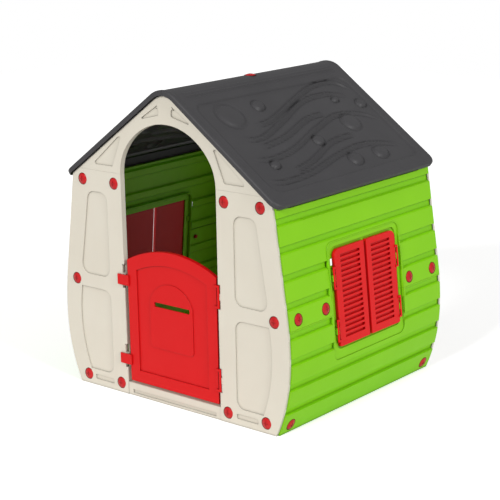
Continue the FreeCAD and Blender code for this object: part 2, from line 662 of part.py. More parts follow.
def plank_edges(low, high, inset):
    """One plank's face between two heights, as an arc on the bow and a line above it."""
    ends = [FreeCAD.Vector(wall_x(z, inset), 0, z) for z in (low, high)]
    middle = (low + high) / 2
    bulge = FreeCAD.Vector(wall_x(middle, inset), 0, middle)
    if Part.Vertex(bulge).distToShape(Part.LineSegment(*ends).toShape())[0] < 0.02:
        return [Part.LineSegment(*ends).toShape()]
    return [Part.Arc(ends[0], bulge, ends[1]).toShape()]


def skin_line(low, high, grooves, inset, spread):
    """The section's line up one side of the skin, dipping in at each groove."""
    depth, draft = value("groove_depth"), value("groove_draft")
    edges, start = [], low
    for centre in grooves:
        half = value("groove_height") / 2
        mouth = (centre - half - spread, centre + half + spread)
        floor = (centre - half + draft - spread * 0.7, centre + half - draft + spread * 0.7)
        corners = [FreeCAD.Vector(wall_x(mouth[0], inset), 0, mouth[0]),
                   FreeCAD.Vector(wall_x(floor[0], inset + depth), 0, floor[0]),
                   FreeCAD.Vector(wall_x(floor[1], inset + depth), 0, floor[1]),
                   FreeCAD.Vector(wall_x(mouth[1], inset), 0, mouth[1])]
        edges += plank_edges(start, mouth[0], inset)
        edges += [Part.LineSegment(a, b).toShape() for a, b in zip(corners, corners[1:])]
        start = mouth[1]
    return edges + plank_edges(start, high, inset)


def ends_of(edges):
    points = [v.Point for v in Part.Wire(edges).OrderedVertexes]
    return (points[0], points[-1]) if points[0].z < points[-1].z else (points[-1], points[0])


def section(outer, inner):
    """A face between two lines that run up the wall."""
    outer_low, outer_high = ends_of(outer)
    inner_low, inner_high = ends_of(inner)
    caps = [Part.LineSegment(outer_high, inner_high).toShape(),
            Part.LineSegment(inner_low, outer_low).toShape()]
    return Part.Face(Part.Wire(Part.__sortEdges__(outer + inner + caps)))


def along(face, start, end):
    face = face.copy()
    face.translate(FreeCAD.Vector(0, start, 0))
    return face.extrude(FreeCAD.Vector(0, end - start, 0))


def both_sides(face, start, end):
    return [along(face, start, end), along(face, -end, -start)]


def window_block(half, low, high, outer, inner, rounding):
    """A block in the window's own frame, its long edges rounded, set into the right wall."""
    angle, middle = window_tilt()
    block = Part.makeBox(outer - inner, 2 * half, high - low,
                         FreeCAD.Vector(inner, -half, low - middle.z))
    edges = [e for e in block.Edges if abs(e.Vertexes[0].X - e.Vertexes[1].X) > 1e-6]
    block = block.makeFillet(rounding, edges) if rounding else block
    block.Placement = on_wall(False, angle, middle)
    return block


def cradles():
    """Half-round seats for the shutters' rods, standing on the window's lining."""
    angle, middle = window_tilt()
    pivot, proud = value("shutter_pivot"), value("shutter_proud")
    radius = value("rod_diameter / 2 + rod_fit")
    outer = value("rod_diameter / 2 + rod_fit + cradle_wall")
    seats = []
    for start in ("upper_loop_low", "lower_loop_low"):
        base = value(f"shutter_low - {MIDDLE} + {start} + loop_height / 2 - cradle_length / 2")
        for side in (1, -1):
            left = min(side * (pivot - outer), side * (value("window_half") + 2))
            width = value("window_half") + 2 - pivot + outer
            seat = Part.makeBox(proud + 12, width, value("cradle_length"),
                                FreeCAD.Vector(-12, left, base))
            bore = Part.makeCylinder(radius, value("cradle_length"),
                                     FreeCAD.Vector(proud, side * pivot, base))
            seats.append(seat.cut(bore))
    for seat in seats:
        seat.Placement = on_wall(False, angle, middle)
    return seats


def wall_half(upper):
    """The right wall's upper or lower half, before it is placed."""
    skin, depth = value("skin"), value("groove_depth")
    long, stop = value("wall_half_length"), value("short_groove_end + seam_gap")
    lap, gap = value("lap_low"), value("seam_gap")
    first = value("upper_first_groove" if upper else "lower_first_groove")
    pitch = value("upper_groove_pitch" if upper else "lower_groove_pitch")
    grooves = [first + pitch * i for i in range(4)]
    short = grooves[0] if upper else grooves[3]
    low, high = (lap, value("wall_top")) if upper else (0, lap - gap)
    full = section(skin_line(low, high, grooves, 0, 0), skin_line(low, high, grooves, skin, skin))
    rest = [g for g in grooves if g != short]
    plain = section(skin_line(low, high, rest, 0, 0), skin_line(low, high, rest, skin, skin))
    reach = value("groove_height") / 2 + skin
    close = section(plank_edges(short - reach, short + reach, skin / 2),
                    plank_edges(short - reach, short + reach, skin + depth))
    flange = section(skin_line(low, high, grooves, 0, 0),
                     plank_edges(low, high, value("flange_width")))
    end = value("short_groove_end")
    pieces = both_sides(full, end, long) + both_sides(flange, long - skin, long)
    pieces += [along(plain, -end, end)] + both_sides(close, end - skin, end)
    if upper:
        # corner posts reach up to the roof, and a flange stiffens the top edge between them
        top = value("wall_top")
        roof = value(side_top("0")[1])
        post = section(plank_edges(top - 1, roof + 20, 0), plank_edges(top - 1, roof + 20, skin))
        pieces += both_sides(post, long - value("wall_post"), long)
        shelf = section(plank_edges(top - skin, top, 0), plank_edges(top - skin, top, 30))
        pieces += [along(shelf, -long, long)]
        cap = section(plank_edges(top - 1, roof + 80, 0), plank_edges(top - 1, roof + 80, 80))
        pieces += both_sides(cap, long - skin, long)
    else:
        # the tongue behind the upper half's lap plank, and the foot flange on the floor
        outside = skin + value("lap_fit")
        tongue = section(plank_edges(lap - gap - skin, lap + value("lap_tongue"), outside),
                         plank_edges(lap - gap - skin, lap + value("lap_tongue"), outside + skin))
        pieces += both_sides(tongue, stop, long - skin - 1)
        foot = section(plank_edges(0, skin, 0), plank_edges(0, skin, value("foot_flange")))
        pieces += [along(foot, -long, long)]
    wall = pieces[0].multiFuse(pieces[1:])

    # the flat surround let into the planks, and the opening through it
    surround_half, window = value("surround_half"), value("window_half")
    span = [value(n) for n in ("surround_low", "surround_high", "window_low", "window_high")]
    rounding = value("window_round")
    below = section(plank_edges(span[0] - 30, span[1] + 30, 0),
                    plank_edges(span[0] - 30, span[1] + 30, 90))
    tray = window_block(surround_half + skin, span[0] - skin, span[1] + skin, 60, -skin, rounding)
    tray = tray.common(along(below, -long, long))
    field = window_block(surround_half, span[0], span[1], 90, 0, rounding)
    clear = window_block(surround_half + skin, span[0] - skin, span[1] + skin, 90, -40, rounding)
    lining = window_block(window + skin, span[2] - skin, span[3] + skin, 0,
                          -value("lining_depth"), rounding)
    opening = window_block(window, span[2], span[3], 90, -60, rounding)
    keep = Part.makeBox(400, 2 * long, high - low + (60 if upper else 0),
                        FreeCAD.Vector(200, -long, low))
    frame = tray.cut(field).fuse(lining).cut(opening).multiFuse(cradles())
    wall = wall.cut(clear).fuse(frame.common(keep))
    if upper:
        wall = wall.cut(under_roof_cutter())
    wall = wall.cut(Part.makeCompound(wall_screw_holes()))
    return wall.removeSplitter()


def under_roof_cutter():
    """Everything above the roof's underside, over the right wall."""
    slope = math.radians(value("roof_slope"))
    rise = value(f"ridge_centre + {UNDER_RADIUS} / cos(roof_slope * 1 deg)")
    block = Part.makeBox(900, 2 * value("roof_half_depth"), 400,
                         FreeCAD.Vector(0, -value("roof_half_depth"), 0))
    turn = FreeCAD.Rotation(FreeCAD.Vector(0, 1, 0), math.degrees(slope))
    block.Placement = FreeCAD.Placement(FreeCAD.Vector(0, 0, rise), turn)
    return block


SIDE_SCREWS = (("side_outer_screw", "side_screw_height"), ("side_inner_screw", "side_screw_height"),
               ("side_outer_screw", "side_foot_screw_height"))


def side_screw_place(along_wall, height):
    """The point on the right wall under a screw's head, and the direction out of the wall."""
    across = wall_x(height)
    outward = FreeCAD.Vector(across - wall_x(height + 1), 0, 0)
    outward = FreeCAD.Vector(1, 0, outward.x).normalize()
    return FreeCAD.Vector(across, along_wall, height), outward


def wall_screw_holes():
    """Holes for the side screws and for those that come through the columns."""
    radius = value(HOLE) / 2
    holes = []
    for name, height in SIDE_SCREWS:
        for side in (1, -1):
            place, outward = side_screw_place(side * value(name), value(height))
            holes.append(Part.makeCylinder(radius, 80, place - outward * 40, outward))
    for across, height in (("outer_top_screw", "top_screw_height"), ("mid_screw", "mid_screw_height"),
                           ("foot_screw", "foot_screw_height")):
        start = FreeCAD.Vector(value(across), -value("half_depth"), value(height))
        holes.append(Part.makeCylinder(radius, value("2 * half_depth"), start, FreeCAD.Vector(0, 1, 0)))
    return holes


def make_wall(label, upper, left_wall):
    part = doc.addObject("Part::Feature", label)
    part.Label = label
    part.Shape = wall_half(upper)
    turn_about(part, left_wall)
    return part


# ---- the roof ------------------------------------------------------------------------------------

def roof_point(radius, back):
    """A corner at this radius' roof line, set back up the slope from the eave's end face."""
    over = "(ridge_radius / cos(roof_slope * 1 deg))"
    across = f"(eave_half - (ridge_radius - {radius}) * sin(roof_slope * 1 deg) - {back} * cos(roof_slope * 1 deg))"
    up = (f"(ridge_centre + {over} - tan(roof_slope * 1 deg) * eave_half"
          f" - (ridge_radius - {radius}) * cos(roof_slope * 1 deg) + {back} * sin(roof_slope * 1 deg))")
    return across, up


def roof_band(outer, inner, start="0.2"):
    """The section between two radii of the roof, from the ridge to the eave."""
    def crest(radius):
        return start, f"ridge_centre + sqrt(({radius})^2 - ({start})^2)"
    corners = [crest(inner), crest(outer), roof_tangent(outer), roof_point(outer, "0"),
               roof_point(inner, "0"), roof_tangent(inner)]
    return corners, {1: (outer, -1), 5: (inner, 1)}


def make_roof(label, left):
    body = new_body(label)
    skin_radius = "(ridge_radius - skin)"

    def place(corners, arcs=None):
        return mirrored(corners, arcs) if left else (corners, arcs)

    corners, arcs = place(*roof_band("ridge_radius", skin_radius))
    add(body, outline(body, label + "_skin", "XZ_Plane", corners, "0", arcs),
        "2 * roof_half_depth", both_ways=True)
    rims = [("front_rim", "roof_half_depth", "rim_wall"),
            ("front_rib", "half_depth", "roof_rib"),
            ("back_rib", "roof_rib - half_depth", "roof_rib"),
            ("back_rim", "rim_wall - roof_half_depth", "rim_wall")]
    for name, level, width in rims:
        corners, arcs = place(*roof_band("ridge_radius", UNDER_RADIUS))
        add(body, outline(body, f"{label}_{name}", "XZ_Plane", corners, level, arcs), width, True)
    eave = [roof_point("ridge_radius", "0"), roof_point(UNDER_RADIUS, "0"),
            roof_point(UNDER_RADIUS, "rim_wall"), roof_point("ridge_radius", "rim_wall")]
    corners, arcs = place(eave)
    add(body, outline(body, label + "_eave", "XZ_Plane", corners, "0", arcs),
        "2 * roof_half_depth", both_ways=True)
    level = "half_depth - roof_rib - hook_gap"
    if not left:
        # the lap under the left panel's crest, with hooks that stand in its slots
        outer = f"({skin_radius} - lap_fit)"
        inner = f"({outer} - skin)"
        lap = [("-ridge_lap", f"ridge_centre + sqrt({inner}^2 - ridge_lap^2)"),
               ("lap_root", f"ridge_centre + sqrt({inner}^2 - lap_root^2)"),
               ("lap_root", f"ridge_centre + sqrt({outer}^2 - lap_root^2)"),
               ("-ridge_lap", f"ridge_centre + sqrt({outer}^2 - ridge_lap^2)")]
        sketch = outline(body, label + "_lap", "XZ_Plane", lap, "0", {0: (inner, -1), 2: (outer, 1)})
        add(body, sketch, f"2 * ({level} - lap_short)", both_ways=True)
        web_top = "(ridge_radius - skin / 2)"
        web = [("lap_fit", f"ridge_centre + sqrt({inner}^2 - lap_fit^2)"),
               ("lap_root", f"ridge_centre + sqrt({inner}^2 - lap_root^2)"),
               ("lap_root", f"ridge_centre + sqrt({web_top}^2 - lap_root^2)"),
               ("lap_fit", f"ridge_centre + sqrt({web_top}^2 - lap_fit^2)")]
        sketch = outline(body, label + "_web", "XZ_Plane", web, "0", {0: (inner, -1), 2: (web_top, 1)})
        add(body, sketch, f"2 * ({level} - lap_short)", both_ways=True)
    spots = ("-1.5", "-0.5", "0.5", "1.5")
    for number, spot in enumerate(spots):
        place_y = f"{spot} * hook_pitch"
        grow = "hook_gap" if left else "0"
        corners = box_corners(f"-(ridge_lap / 2 + hook_width / 2 + {grow})",
                              f"-(ridge_lap / 2 - hook_width / 2 - {grow})",
                              f"{place_y} - hook_length / 2 - {grow}",
                              f"{place_y} + hook_length / 2 + {grow}")
        if left:
            slot = outline(body, f"{label}_slot{number}", "XY_Plane", corners, "ridge_centre + ridge_radius")
            take(body, slot, "3 * skin")
        else:
            top = "ridge_centre + sqrt((ridge_radius - skin)^2 - (ridge_lap / 2 + hook_width / 2)^2)"
            hook = outline(body, f"{label}_hook{number}", "XY_Plane", corners, f"{top} - 1")
            add(body, hook, "skin + 1")
    hole = round_outline(body, label + "_screw", "XY_Plane", "0", "0", HOLE,
                         "ridge_centre + ridge_radius + 1")
    take(body, hole, "30")
    return body


# ---- screws --------------------------------------------------------------------------------------

def screw_at(place, outward, length):
    """A domed head standing on a face, and its shaft going in."""
    head = value("screw_head") / 2
    rise = value("screw_head_rise")
    ball = (head ** 2 + rise ** 2) / (2 * rise)
    dome = Part.makeSphere(ball, FreeCAD.Vector(0, 0, rise - ball))
    dome = dome.common(Part.makeCylinder(head, rise, FreeCAD.Vector(0, 0, 0)))
    slot = Part.makeBox(head * 0.9, 3, 2, FreeCAD.Vector(-head * 0.45, -1.5, rise - 1.6))
    cross = slot.fuse(slot.copy().rotate(FreeCAD.Vector(), FreeCAD.Vector(0, 0, 1), 90))
    shaft = Part.makeCylinder(value("screw_shaft") / 2, length, FreeCAD.Vector(0, 0, -length))
    screw = dome.fuse(shaft).cut(cross).removeSplitter()
    turn = FreeCAD.Rotation(FreeCAD.Vector(0, 0, 1), outward)
    screw.Placement = FreeCAD.Placement(place, turn)
    return screw


def make_screws(label, screws, turned=False):
    part = doc.addObject("Part::Feature", label)
    part.Label = label
    part.Shape = Part.makeCompound(screws)
    turn_about(part, turned)
    return part


def end_screws():
    """The ten screws of one cream end."""
    screws = []
    for name, height, seat in COLUMN_SCREWS:
        for side in (1, -1):
            place = FreeCAD.Vector(side * value(name), -value("half_depth"), value(height))
            length = value("jamb_return + skin + 5")
            screws.append(screw_at(place, FreeCAD.Vector(0, -1, 0), length))
    return screws


def side_screws():
    screws = []
    for name, height in SIDE_SCREWS:
        for side in (1, -1):
            place, outward = side_screw_place(side * value(name), value(height))
            screws.append(screw_at(place, outward, value("2 * skin + screw_tail")))
    return screws


# ---- everything together -------------------------------------------------------------------------

pieces = [make_column("front_right_column", False, False),
          make_column("front_left_column", True, False),
          make_column("back_left_column", False, True),
          make_column("back_right_column", True, True),
          make_gable("front_gable", False), make_gable("back_gable", True),
          make_sill("front_sill", False), make_sill("back_sill", True),
          make_door()]
for wall_side, left_wall in (("right", False), ("left", True)):
    for half_name, is_upper in (("lower", False), ("upper", True)):
        pieces.append(make_wall(f"{wall_side}_wall_{half_name}", is_upper, left_wall))
    pieces.append(make_screws(f"{wall_side}_wall_screws", side_screws(), left_wall))
    for spot, far in (("front", False), ("back", True)):
        pieces.append(make_shutter(f"{wall_side}_{spot}_shutter", left_wall, far))
pieces += [make_screws("front_screws", end_screws()), make_screws("back_screws", end_screws(), True),
           make_roof("right_roof_panel", False), make_roof("left_roof_panel", True)]
crest = FreeCAD.Vector(0, 0, value("ridge_centre + ridge_radius"))
ridge_screw = screw_at(crest, FreeCAD.Vector(0, 0, 1), value("2 * skin + screw_tail"))
pieces.append(make_screws("ridge_screw", [ridge_screw]))
doc.recompute()

for item in doc.Objects:
    if "Invalid" in item.State or "Error" in item.State:
        raise RuntimeError(f"{item.Label} failed: {item.State}")
os.makedirs("parts", exist_ok=True)
for piece in pieces:
    if piece.Shape.isNull() or not piece.Shape.isValid():
        raise RuntimeError(f"{piece.Label} has no sound shape")
    piece.Shape.exportStep(f"parts/{piece.Label}.step")
    print(f"{piece.Label:22s} {len(piece.Shape.Solids)} solid(s) {piece.Shape.Volume / 1000:9.1f} cm3")
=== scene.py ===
from math import atan2, cos, hypot, pi, radians, sin, sqrt

import bmesh
import bpy
import numpy as np
from mathutils import Matrix, Vector


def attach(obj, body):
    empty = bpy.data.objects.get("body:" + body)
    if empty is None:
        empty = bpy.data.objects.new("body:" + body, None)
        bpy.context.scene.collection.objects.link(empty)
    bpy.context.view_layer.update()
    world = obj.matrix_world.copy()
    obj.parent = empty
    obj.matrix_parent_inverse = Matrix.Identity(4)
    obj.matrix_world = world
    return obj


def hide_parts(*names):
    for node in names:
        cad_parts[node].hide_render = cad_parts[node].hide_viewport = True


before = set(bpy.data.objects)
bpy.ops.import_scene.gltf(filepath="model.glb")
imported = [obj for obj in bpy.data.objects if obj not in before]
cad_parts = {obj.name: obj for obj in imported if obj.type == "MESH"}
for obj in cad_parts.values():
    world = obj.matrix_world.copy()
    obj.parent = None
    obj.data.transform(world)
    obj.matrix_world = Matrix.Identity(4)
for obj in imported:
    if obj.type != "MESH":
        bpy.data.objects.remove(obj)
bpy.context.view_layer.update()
print("frame loaded")

cameraSetup = {
    "place": (3.2485, -3.8954, 1.7768),
    "yaw": 40.01, "pitch": -14.598, "roll": -1.052,
    "lens": 106.12, "shift": (0.0025, 0.0029),
}


def makeCamera(setup):
    yaw, pitch, roll = (radians(setup[name]) for name in ("yaw", "pitch", "roll"))
    ahead = Vector((-sin(yaw) * cos(pitch), cos(yaw) * cos(pitch), sin(pitch)))
    right = ahead.cross(Vector((0, 0, 1))).normalized()
    up = right.cross(ahead)
    across = right * cos(roll) + up * sin(roll)
    upward = up * cos(roll) - right * sin(roll)
    data = bpy.data.cameras.new("camera")
    data.sensor_width = 36
    data.lens = setup["lens"]
    data.shift_x, data.shift_y = setup["shift"]
    camera = bpy.data.objects.new("camera", data)
    bpy.context.collection.objects.link(camera)
    turn = Matrix((across, upward, -ahead)).transposed().to_4x4()
    camera.matrix_world = Matrix.Translation(setup["place"]) @ turn
    bpy.context.scene.camera = camera


makeCamera(cameraSetup)
print("camera placed")


# colours are given as they look on a screen, 0 to 255
def asLinear(colour):
    levels = [c / 255 for c in colour]
    return tuple(c / 12.92 if c <= 0.04045 else ((c + 0.055) / 1.055) ** 2.4 for c in levels) + (1,)


def addNode(tree, kind, values=None, **settings):
    node = tree.nodes.new(kind)
    for name, value in settings.items():
        setattr(node, name, value)
    for name, value in (values or {}).items():
        node.inputs[name].default_value = value
    return node


def makePlasticGroup():
    group = bpy.data.node_groups.new("mouldedPlastic", "ShaderNodeTree")
    inputs = [("Colour", "NodeSocketColor", (0.5, 0.5, 0.5, 1)),
              ("Faded colour", "NodeSocketColor", (0.6, 0.6, 0.6, 1)),
              ("Fading", "NodeSocketFloat", 0.5), ("Flow size", "NodeSocketFloat", 5.0),
              ("Grain size", "NodeSocketFloat", 700.0), ("Grain depth", "NodeSocketFloat", 0.15),
              ("Roughness", "NodeSocketFloat", 0.4), ("Scuffs", "NodeSocketFloat", 0.1),
              ("Painted crease shade", "NodeSocketFloat", 0.5), ("Edge radius", "NodeSocketFloat", 0.0015),
              ("Crease reach", "NodeSocketFloat", 0.010)]
    for name, kind, start in inputs:
        group.interface.new_socket(name=name, in_out="INPUT", socket_type=kind).default_value = start
    for name, kind in (("Colour", "NodeSocketColor"), ("Roughness", "NodeSocketFloat"),
                       ("Normal", "NodeSocketVector")):
        group.interface.new_socket(name=name, in_out="OUTPUT", socket_type=kind)
    entry = addNode(group, "NodeGroupInput")
    leave = addNode(group, "NodeGroupOutput")
    place = addNode(group, "ShaderNodeTexCoord")
    link = group.links.new
    flow = addNode(group, "ShaderNodeTexNoise", {"Detail": 4.0, "Roughness": 0.55})
    link(place.outputs["Object"], flow.inputs["Vector"])
    link(entry.outputs["Flow size"], flow.inputs["Scale"])
    spread = addNode(group, "ShaderNodeMapRange", {"From Min": 0.35, "From Max": 0.7})
    link(flow.outputs["Fac"], spread.inputs["Value"])
    amount = addNode(group, "ShaderNodeMath", operation="MULTIPLY")
    link(spread.outputs["Result"], amount.inputs[0])
    link(entry.outputs["Fading"], amount.inputs[1])
    tint = addNode(group, "ShaderNodeMix", data_type="RGBA")
    link(amount.outputs["Value"], tint.inputs["Factor"])
    link(entry.outputs["Colour"], tint.inputs[6])
    link(entry.outputs["Faded colour"], tint.inputs[7])
    # painted shade: where ambient occlusion finds creases, recesses and gaps close by, the colour is
    # darkened
    crease = addNode(group, "ShaderNodeAmbientOcclusion", samples=6)
    link(entry.outputs["Crease reach"], crease.inputs["Distance"])
    open_ = addNode(group, "ShaderNodeMapRange", {"From Min": 0.35, "From Max": 0.92})
    link(crease.outputs["AO"], open_.inputs["Value"])
    closed = addNode(group, "ShaderNodeMath", operation="SUBTRACT")
    closed.inputs[0].default_value = 1.0
    link(open_.outputs["Result"], closed.inputs[1])
    shaded = addNode(group, "ShaderNodeMath", operation="MULTIPLY")
    link(closed.outputs["Value"], shaded.inputs[0])
    link(entry.outputs["Painted crease shade"], shaded.inputs[1])
    paintedCreaseShade = addNode(group, "ShaderNodeMix", data_type="RGBA", blend_type="MULTIPLY")
    # the darkest colour of the painted crease shade
    paintedCreaseShade.inputs[7].default_value = (0.32, 0.32, 0.32, 1)
    link(shaded.outputs["Value"], paintedCreaseShade.inputs["Factor"])
    link(tint.outputs[2], paintedCreaseShade.inputs[6])
    link(paintedCreaseShade.outputs[2], leave.inputs["Colour"])
    scuff = addNode(group, "ShaderNodeTexNoise", {"Scale": 38.0, "Detail": 6.0, "Roughness": 0.7})
    link(place.outputs["Object"], scuff.inputs["Vector"])
    scuffed = addNode(group, "ShaderNodeMath", operation="MULTIPLY_ADD")
    link(scuff.outputs["Fac"], scuffed.inputs[0])
    link(entry.outputs["Scuffs"], scuffed.inputs[1])
    link(entry.outputs["Roughness"], scuffed.inputs[2])
    link(scuffed.outputs["Value"], leave.inputs["Roughness"])
    grain = addNode(group, "ShaderNodeTexNoise", {"Detail": 2.0})
    link(place.outputs["Object"], grain.inputs["Vector"])
    link(entry.outputs["Grain size"], grain.inputs["Scale"])
    bump = addNode(group, "ShaderNodeBump", {"Distance": 0.0004})
    link(entry.outputs["Grain depth"], bump.inputs["Strength"])
    link(grain.outputs["Fac"], bump.inputs["Height"])
    rounded = addNode(group, "ShaderNodeBevel", samples=4)
    link(entry.outputs["Edge radius"], rounded.inputs["Radius"])
    link(rounded.outputs["Normal"], bump.inputs["Normal"])
    link(bump.outputs["Normal"], leave.inputs["Normal"])
    return group


plasticGroup = makePlasticGroup()

# each finish's Painted crease shade sets how strongly its creases and recesses get painted shade
finishes = {
    "cream": {"Colour": (226, 219, 203), "Faded colour": (232, 226, 211), "Fading": 0.6,
              "Flow size": 5.0, "Grain size": 900.0, "Grain depth": 0.12, "Roughness": 0.36,
              "Scuffs": 0.12, "Painted crease shade": 0.75, "Edge radius": 0.003},
    "green": {"Colour": (140, 215, 12), "Faded colour": (147, 221, 20), "Fading": 0.7,
              "Flow size": 4.0, "Grain size": 900.0, "Grain depth": 0.14, "Roughness": 0.38,
              "Scuffs": 0.12, "Painted crease shade": 0.7, "Edge radius": 0.0022},
    "red": {"Colour": (221, 10, 14), "Faded colour": (226, 16, 20), "Fading": 0.6,
            "Flow size": 6.0, "Grain size": 800.0, "Grain depth": 0.1, "Roughness": 0.32,
            "Scuffs": 0.1, "Painted crease shade": 0.7, "Edge radius": 0.0016},
    "shutterRed": {"Colour": (233, 12, 16), "Faded colour": (238, 20, 24), "Fading": 0.6,
                   "Flow size": 8.0, "Grain size": 800.0, "Grain depth": 0.1, "Roughness": 0.34,
                   "Scuffs": 0.1, "Painted crease shade": 0.7, "Edge radius": 0.0012},
    "screwRed": {"Colour": (198, 12, 18), "Faded colour": (210, 20, 26), "Fading": 0.5,
                 "Flow size": 30.0, "Grain size": 900.0, "Grain depth": 0.08, "Roughness": 0.26,
                 "Scuffs": 0.08, "Painted crease shade": 0.9, "Edge radius": 0.0008},
    # dark red of the painted shadow ring round each screw's head
    "paintedSeatShadow": {"Colour": (92, 20, 16), "Faded colour": (70, 14, 12), "Fading": 0.6,
                   "Flow size": 40.0, "Grain size": 900.0, "Grain depth": 0.1, "Roughness": 0.5,
                   "Scuffs": 0.1, "Painted crease shade": 0.5, "Edge radius": 0.0004},
    "darkGrey": {"Colour": (66, 65, 67), "Faded colour": (72, 71, 73), "Fading": 0.6,
                 "Flow size": 7.0, "Grain size": 650.0, "Grain depth": 0.12, "Roughness": 0.45,
                 "Scuffs": 0.10, "Painted crease shade": 1.0, "Edge radius": 0.0008, "Crease reach": 0.016},
}


gloss = {"cream": 0.4, "green": 0.3, "red": 0.3, "shutterRed": 0.3, "screwRed": 0.5,
         "paintedSeatShadow": 0.1, "darkGrey": 0.38}


def makePlastic(name):
    material = bpy.data.materials.new(name + "Plastic")
    material.use_nodes = True
    tree = material.node_tree
    shader = tree.nodes["Principled BSDF"]
    surface = addNode(tree, "ShaderNodeGroup")
    surface.node_tree = plasticGroup
    for socketName, value in finishes[name].items():
        surface.inputs[socketName].default_value = asLinear(value) if isinstance(value, tuple) else value
    tree.links.new(surface.outputs["Colour"], shader.inputs["Base Color"])
    tree.links.new(surface.outputs["Roughness"], shader.inputs["Roughness"])
    tree.links.new(surface.outputs["Normal"], shader.inputs["Normal"])
    shader.inputs["Specular IOR Level"].default_value = gloss[name]
    return material


plastics = {name: makePlastic(name) for name in finishes}
print("materials made")


def deselect():
    if bpy.context.object and bpy.context.object.mode != "OBJECT":
        bpy.ops.object.mode_set(mode="OBJECT")
    bpy.ops.object.select_all(action="DESELECT")


def makeActive(piece):
    deselect()
    piece.select_set(True)
    bpy.context.view_layer.objects.active = piece


def paint(piece, plastic):
    piece.data.materials.clear()
    piece.data.materials.append(plastics[plastic])


def settle(piece, body, plastic, nodes=()):
    paint(piece, plastic)
    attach(piece, body)
    if nodes:
        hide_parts(*nodes)


roof = {
    "ridgeRadius": 0.090, "ridgeCentre": 0.995, "slope": radians(36), "eave": 0.475, "end": 0.450,
    "corner": 0.036, "edgeRound": 0.007, "thick": 0.0176, "skin": 0.003, "seam": 0.0003,
    "across": 158, "along": 250,
    "field": ((0.088, 0.434), (-0.402, 0.412)), "fieldRound": 0.045, "fieldDepth": 0.0045, "rimWidth": 0.012, "rimRise": 0.0020,
    "bubbles": [(0.150, -0.277, 0.041, 0.050), (0.134, -0.119, 0.018, 0.025),
                (0.342, -0.288, 0.013, 0.018), (0.297, 0.000, 0.017, 0.023),
                (0.262, 0.234, 0.029, 0.040), (0.171, 0.262, 0.010, 0.015),
                (0.203, 0.372, 0.016, 0.022), (0.388, 0.088, 0.021, 0.030),
                (0.388, 0.234, 0.021, 0.033)],
    "bubbleRise": 0.0080,
    "waves": [[(0.203, -0.222), (0.191, -0.112), (0.146, 0.049), (0.105, 0.211), (0.105, 0.335),
               (0.146, 0.396)],
              [(0.237, -0.317), (0.244, -0.229), (0.205, -0.078), (0.153, 0.094), (0.143, 0.239),
               (0.169, 0.352)],
              [(0.277, -0.279), (0.259, -0.127), (0.217, 0.042), (0.211, 0.148)],
              [(0.310, -0.359), (0.320, -0.265), (0.304, -0.134), (0.257, 0.042), (0.226, 0.193),
               (0.238, 0.313), (0.279, 0.396)],
              [(0.376, -0.228), (0.358, -0.111), (0.314, 0.052), (0.305, 0.198)],
              [(0.388, -0.380), (0.402, -0.301), (0.392, -0.147), (0.363, 0.018), (0.347, 0.162),
               (0.355, 0.264), (0.384, 0.375)]],
    "waveWidth": 0.0050, "waveRise": 0.0048, "creaseWidth": 0.0070, "creaseDepth": 0.0030,
    "ridgeLines": (0.046, 0.056, 0.066), "ridgeLineWidth": 0.004, "ridgeLineRise": 0.0024,
}


def roofHeight(across):
    bend = roof["ridgeRadius"] * sin(roof["slope"])
    if across < bend:
        return roof["ridgeCentre"] + sqrt(roof["ridgeRadius"] ** 2 - across ** 2)
    atBend = roof["ridgeCentre"] + roof["ridgeRadius"] * cos(roof["slope"])
    return atBend - (across - bend) * sin(roof["slope"]) / cos(roof["slope"])


def roofNormal(across):
    lean = min(across / roof["ridgeRadius"], sin(roof["slope"]))
    return Vector((lean, 0, sqrt(1 - lean * lean)))


def curvePoints(points, steps=14):
    line = []
    for i in range(len(points) - 1):
        before, start, end, after = (Vector(points[max(0, min(j, len(points) - 1))])
                                     for j in (i - 1, i, i + 1, i + 2))
        for step in range(steps):
            t = step / steps
            line.append(0.5 * (2 * start + (end - before) * t
                               + (2 * before - 5 * start + 4 * end - after) * t * t
                               + (3 * start - before - 3 * end + after) * t ** 3))
    line.append(Vector(points[-1]))
    return line


def softStep(value):
    value = max(0.0, min(1.0, value))
    return value * value * (3 - 2 * value)


def nearestOnLine(point, line):
    best, where = 1.0, 0.0
    for i in range(len(line) - 1):
        side = line[i + 1] - line[i]
        t = max(0.0, min(1.0, (point - line[i]).dot(side) / side.length_squared))
        gap = (point - line[i] - side * t).length
        if gap < best:
            best, where = gap, (i + t) / (len(line) - 1)
    return best, where


roofWaves = [curvePoints(wave) for wave in roof["waves"]]


